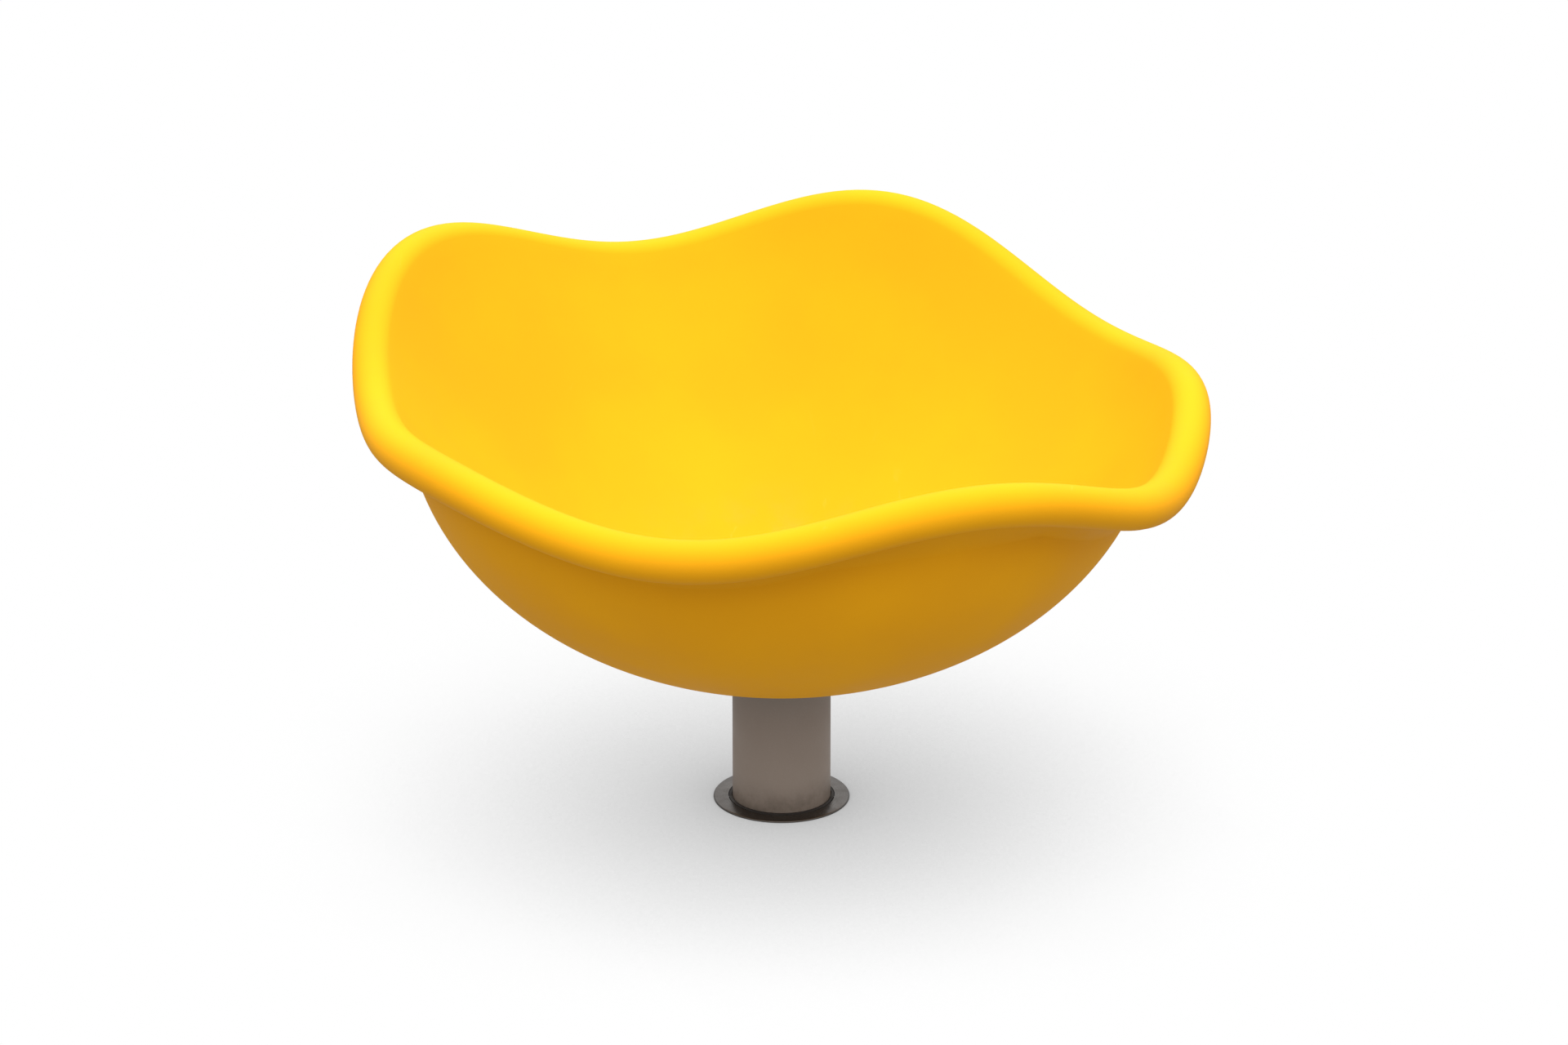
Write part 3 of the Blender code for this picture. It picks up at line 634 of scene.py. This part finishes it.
def bowl_section(angle):
    """Closed section of the double-skinned bowl at one angle."""
    land = shell_height(HUB_LAND)
    wall, meet = wall_curve(angle, WALL_ROWS)
    lip = lip_curve(angle, meet, LIP_ROWS)
    underlip = underlip_curve(angle, lip[-1], UNDERLIP_ROWS)
    shell = shell_curve(shell_join(angle), HUB_LAND, SHELL_ROWS)
    hollow_wall = offset_curve(below(wall, CAVITY_TOP, WALL_ROWS // 3), SKIN)
    rising_shell = list(reversed(shell_curve(SHELL_WAIST, HUB_LAND, SHELL_ROWS)))
    hollow_shell = offset_curve(below(rising_shell, CAVITY_TOP, SHELL_ROWS // 3), -SKIN)
    outside = [(FLOOR_DRAIN, FLOOR), (BOLT_CIRCLE, FLOOR)] + wall + lip + underlip + shell
    opening = [(HUB_OPENING, land), (HUB_OPENING, land + SKIN)]
    seat = [(FLOOR_SEAT, FLOOR - FLOOR_SKIN), (BOLT_CIRCLE, FLOOR - FLOOR_SKIN),
            (FLOOR_DRAIN, FLOOR - FLOOR_SKIN)]
    return outside + opening + hollow_shell + list(reversed(hollow_wall[1:])) + seat


def build_bowl(plastic):
    angles = [2 * math.pi * i / BOWL_COLUMNS for i in range(BOWL_COLUMNS)]
    sections = [[polar(r, a, z) for r, z in bowl_section(a)] for a in angles]
    sharp = 50.0
    piece = finish_mesh("bowl_moulding", sweep(sections), plastic, sharp)
    bolts = [(x, y, BOLT_RADIUS + GAP) for x, y in around(BOLT_CIRCLE, 4)]
    drill(piece, bolts, FLOOR - FLOOR_SKIN - 0.002, FLOOR + 0.010, sharp)
    land = shell_height(HUB_LAND)
    screws = around(SHROUD_SCREW_CIRCLE, 4, SCREW_START)
    drill(piece, [(x, y, SCREW_RADIUS + GAP) for x, y in screws], land - 0.005, land + 0.009, sharp)
    stand_in(piece, "spinner", "bowl_plastic", "bowl")


# ------------------------------------------------------------------ hub pieces
def build_clamp(material):
    inner, outer = CLAMP_DRAIN, clamp_high.x
    low, high = clamp_low.z, clamp_high.z
    outline = rounded([(inner, low), (inner, high), (outer, high), (outer, low)],
                      [0.0003, 0.0012, 0.0016, 0.0003])
    piece = finish_mesh("clamp_plate", ring(outline), material)
    bolts = [(x, y, BOLT_RADIUS + GAP) for x, y in around(BOLT_CIRCLE, 4)]
    drill(piece, bolts, low - 0.010, high + 0.010)
    stand_in(piece, "spinner", "stainless_steel", "clamp_disc")


def build_bolts(material):
    """Button-head bolts with hexagon sockets on the clamp disc."""
    radius, height, socket = BOLT_HEAD_RADIUS, BOLT_HEAD_HEIGHT, BOLT_SOCKET
    shank, length = BOLT_RADIUS, BOLT_LENGTH
    rim, first, last, steps = 0.0009, math.radians(12), math.radians(78), 8
    dome = []
    for i in range(steps + 1):
        a = first + (last - first) * i / steps
        dome.append((radius * math.cos(a) + 0.0002,
                     rim + (height - rim) * math.sin(a) / math.sin(last)))
    profile = [(0, -length), (shank - 0.001, -length), (shank, -length + 0.001), (shank, 0),
               (radius - 0.0003, 0), (radius, 0.0003)] + dome
    profile += [(0.0042, height), (socket, height - 0.0003), (socket, 0.0026), (0, 0.0022)]
    flats = (len(profile) - 3, len(profile) - 2)
    for i, (x, y) in enumerate(around(BOLT_CIRCLE, 4), start=1):
        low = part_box(f"bowl_bolt_{i}")[0].z + length
        piece = finish_mesh(f"floor_bolt_{i}", turned(profile, hexagon=flats), material)
        piece.location = (x, y, low)
        piece.rotation_euler = (0, 0, 0.37 * i)
        stand_in(piece, "spinner", "stainless_steel", f"bowl_bolt_{i}")


def build_shroud(plastic, steel_finish):
    inner, outer = HUB_BORE, shroud_high.x
    low, high = shroud_low.z, shroud_high.z
    outline = rounded([(inner, low), (inner, high), (outer, high), (outer, low)],
                      [0.0012, 0.0004, 0.0006, 0.0014])
    piece = finish_mesh("shroud_cover", ring(outline), plastic)
    screws = around(SHROUD_SCREW_CIRCLE, 4, SCREW_START)
    drill(piece, [(x, y, SCREW_RADIUS + GAP) for x, y in screws], low - 0.010, high + 0.010)
    stand_in(piece, "spinner", "shroud_plastic", "hub_shroud")
    head = [(0, 0.010), (0.0010, 0.0095), (SCREW_RADIUS, 0.0085), (SCREW_RADIUS, 0), (0.0039, 0),
            (0.0040, -0.0002), (0.0039, -0.0010), (0.0034, -0.0018), (0.0026, -0.0024),
            (0.0018, -0.0025), (0.00125, -0.0024), (0.00125, -0.0010), (0, -0.0008)]
    for i, (x, y) in enumerate(screws, start=1):
        screw = finish_mesh(f"cover_screw_{i}", turned(head, 36, hexagon=(10, 11)), steel_finish)
        screw.location = (x, y, low - GAP)
        stand_in(screw, "spinner", "stainless_steel", f"shroud_screw_{i}")


# ------------------------------------------------------------------ post and base
def build_tube(coat):
    inner, outer = tube_high.x - TUBE_WALL, tube_high.x
    outline = rounded([(inner, tube_low.z), (inner, tube_high.z), (outer, tube_high.z),
                       (outer, tube_low.z)], [0.0003, 0.0005, 0.0008, 0.0005])
    piece = finish_mesh("post_column", ring(outline), coat)
    stand_in(piece, "post", "post_coat", "post_tube")


def build_collar(metal, rubber_finish):
    inner, outer = COLLAR_BORE, collar_high.x
    outline = rounded([(inner, collar_low.z), (inner, collar_high.z), (outer, collar_high.z),
                       (outer, collar_low.z)], [0.0003, 0.0004, 0.0012, 0.0003])
    piece = finish_mesh("collar_plate", ring(outline), metal)
    stand_in(piece, "post", "collar_steel", "ground_collar")
    inside, edge = tube_high.x + GAP, inner - GAP
    lip = rounded([(inside, seal_low.z), (inside, seal_high.z), (edge, collar_high.z),
                   (edge, seal_low.z)], [0.0002, 0.0005, 0.0003, 0.0002], steps=4)
    gasket = finish_mesh("collar_gasket", ring(lip), rubber_finish)
    stand_in(gasket, "post", "rubber", "collar_seal")


def build_flange(zinc):
    """Round base plate with rounded rims and four anchor holes."""
    top = flange_high.z
    outer = flange_high.x
    edge = rounded([(0.0, 0.0), (outer, 0.0), (outer, top), (0.0, top)],
                   [0, 0.0006, 0.0016, 0], steps=4)
    piece = finish_mesh("anchor_flange", turned(edge, ROUND), zinc)
    anchors = around(FLANGE_BOLT_CIRCLE, 4, SCREW_START)
    drill(piece, [(x, y, FLANGE_BOLT_HOLE) for x, y in anchors] + [(DRAIN_OFFSET, 0, DRAIN_RADIUS)],
          -top, 2 * top)
    stand_in(piece, "post", "galvanised_steel", "base_flange")


def weld_bead(name, path, radius, closed, material, ripple=0.0024, sides=10):
    """A rippled weld bead along a path of points."""
    bm = bmesh.new()
    count = len(path)
    rows = []
    travelled = 0.0
    for i, point in enumerate(path):
        before = path[i - 1] if closed or i > 0 else point
        after = path[(i + 1) % count] if closed or i < count - 1 else point
        along = (after - before).normalized()
        side = along.cross(Vector((0, 0, 1)))
        side = side.normalized() if side.length > 1e-6 else Vector((1, 0, 0))
        up = side.cross(along)
        if i:
            travelled += (point - path[i - 1]).length
        taper = 1.0 if closed else min(1.0, 0.35 + 3.0 * min(i, count - 1 - i) / count)
        swell = radius * taper * (1 + 0.10 * math.sin(2 * math.pi * travelled / ripple))
        row = [bm.verts.new(point + side * swell * math.cos(a) + up * swell * math.sin(a))
               for a in (2 * math.pi * k / sides for k in range(sides))]
        rows.append(row)
    for i in range(count if closed else count - 1):
        here, after = rows[i], rows[(i + 1) % count]
        for k in range(sides):
            n = (k + 1) % sides
            bm.faces.new((here[k], here[n], after[n], after[k]))
    if not closed:
        bm.faces.new(rows[0])
        bm.faces.new(rows[-1])
    piece = finish_mesh(name, bm, material, sharp=60.0)
    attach(piece, "post")


def build_welds(zinc):
    """Beads round the tube's foot, along both feet of each gusset and up both its sides."""
    flange_top = flange_high.z
    outer = tube_high.x
    steps = 360
    loop = [polar(outer + 0.0014, 2 * math.pi * i / steps, flange_top + 0.0012)
            for i in range(steps)]
    weld_bead("foot_weld", loop, FOOT_WELD, True, zinc)
    gusset_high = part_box("base_gusset_1")[1]
    beside = gusset_high.y + 0.0008
    steps = 70
    foot, side = flange_top + 0.0010, outer + 0.0008
    runs = {"foot": ((outer + 0.0110, foot), (gusset_high.x - 0.001, foot)),
            "side": ((side, flange_top + 0.0100), (side, gusset_high.z - 0.001))}
    for i in range(4):
        turn = Matrix.Rotation(i * math.pi / 2, 4, "Z")
        for which, (first, last) in runs.items():
            for hand, y in (("a", -beside), ("b", beside)):
                path = []
                for j in range(steps + 1):
                    t = j / steps
                    point = Vector((first[0] + t * (last[0] - first[0]), y,
                                    first[1] + t * (last[1] - first[1])))
                    path.append(turn @ point)
                weld_bead(f"gusset_{which}_weld_{i + 1}{hand}", path, GUSSET_WELD, False, zinc)


# ------------------------------------------------------------------ stage, light and camera
def build_stage(material):
    bm = bmesh.new()
    hole = collar_high.x - FLOOR_TUCK
    inner = [bm.verts.new(polar(hole, 2 * math.pi * i / ROUND, GROUND)) for i in range(ROUND)]
    outer = [bm.verts.new(polar(FLOOR_SIZE, 2 * math.pi * i / ROUND, GROUND)) for i in range(ROUND)]
    for i in range(ROUND):
        k = (i + 1) % ROUND
        bm.faces.new((inner[i], outer[i], outer[k], inner[k]))
    floor = finish_mesh("stage_floor", bm, material)


def build_light():
    """An even pale studio all round that grows brighter towards the zenith."""
    world = bpy.data.worlds.new("studio")
    world.use_nodes = True
    tree = world.node_tree

    def calculate(operation, first, second):
        node = tree.nodes.new("ShaderNodeMath")
        node.operation = operation
        for socket, value in zip(node.inputs, (first, second)):
            if isinstance(value, float):
                socket.default_value = value
            else:
                tree.links.new(value, socket)
        return node.outputs["Value"]

    direction = tree.nodes.new("ShaderNodeTexCoord").outputs["Generated"]
    split = tree.nodes.new("ShaderNodeSeparateXYZ")
    tree.links.new(direction, split.inputs["Vector"])
    sway = calculate("MULTIPLY", split.outputs["X"], SIDE_SWING * AMBIENT)
    around_level = calculate("ADD", sway, AMBIENT)
    rise = calculate("MAXIMUM", split.outputs["Z"], 0.0)
    above = calculate("MULTIPLY", calculate("POWER", rise, OVERHEAD_FADE), OVERHEAD)
    sideways = calculate("MULTIPLY", split.outputs["X"], split.outputs["X"])
    narrowing = calculate("SUBTRACT", 1.0, calculate("MULTIPLY", sideways, SIDE_DIM))
    level = calculate("ADD", around_level, calculate("MULTIPLY", above, narrowing))

    felt = tree.nodes["Background"]
    felt.inputs["Color"].default_value = (1.0, 1.0, 1.0, 1.0)
    tree.links.new(level, felt.inputs["Strength"])
    seen = tree.nodes.new("ShaderNodeBackground")
    seen.inputs["Color"].default_value = (1.0, 1.0, 1.0, 1.0)
    mixer = tree.nodes.new("ShaderNodeMixShader")
    camera_ray = tree.nodes.new("ShaderNodeLightPath").outputs["Is Camera Ray"]
    for output, socket in (
            (camera_ray, mixer.inputs["Fac"]), (felt.outputs["Background"], mixer.inputs[1]),
            (seen.outputs["Background"], mixer.inputs[2]),
            (mixer.outputs["Shader"], tree.nodes["World Output"].inputs["Surface"])):
        tree.links.new(output, socket)
    bpy.context.scene.world = world


def build_camera():
    """A long lens looking down at about 21 degrees, level with the object's middle in the frame."""
    camera = bpy.data.cameras.new("camera")
    camera.lens = CAMERA_LENS
    camera.sensor_width = 36.0
    camera.clip_end = 200.0
    holder = bpy.data.objects.new("camera", camera)
    holder.location = Vector(CAMERA_PLACE) + Vector((0, 0, GROUND))
    holder.rotation_euler = (math.pi / 2 - CAMERA_PITCH, 0, 0)
    bpy.context.collection.objects.link(holder)
    bpy.context.scene.camera = holder
    bpy.context.scene.view_settings.view_transform = "Standard"


# ------------------------------------------------------------------ carried-over CAD nodes
def finish_cad_nodes(finishes):
    """Give every CAD node that stays in view a detailed material by its record slot."""
    slots = {row["node"]: row["material_slot"] for row in frame["record"]["subparts"]}
    for name, node in frame["nodes"].items():
        node.data.materials.clear()
        node.data.materials.append(finishes[slots[name]])


def build():
    zinc = galvanised()
    stainless = steel("stainless_steel", (0.56, 0.55, 0.53), 0.26, grain=(1, 30, 30))
    finishes = {
        "bowl_plastic": bowl_plastic(),
        "post_coat": post_coat(),
        "collar_steel": turned_steel("collar_steel", (0.120, 0.110, 0.102), 0.24),
        "stainless_steel": stainless,
        "galvanised_steel": zinc,
        "bearing_steel": turned_steel("bearing_steel", (0.62, 0.62, 0.63), 0.12),
        "spring_steel": steel("spring_steel", (0.12, 0.12, 0.13), 0.35),
        "rubber": rubber(),
        "shroud_plastic": moulded("shroud_plastic", (0.040, 0.037, 0.034), (0.058, 0.054, 0.050), 0.45),
        "cage_plastic": moulded("cage_plastic", (0.27, 0.19, 0.09), (0.33, 0.24, 0.12), 0.40),
    }
    finish_cad_nodes(finishes)
    build_bowl(finishes["bowl_plastic"])
    build_clamp(turned_steel("clamp_steel", (0.200, 0.196, 0.190), 0.30))
    build_bolts(steel("bolt_steel", (0.26, 0.255, 0.25), 0.28, grain=(1, 30, 30)))
    build_shroud(finishes["shroud_plastic"], stainless)
    build_tube(finishes["post_coat"])
    build_collar(finishes["collar_steel"], finishes["rubber"])
    build_flange(zinc)
    build_welds(zinc)
    build_stage(floor_paint())
    build_light()
    build_camera()


build()
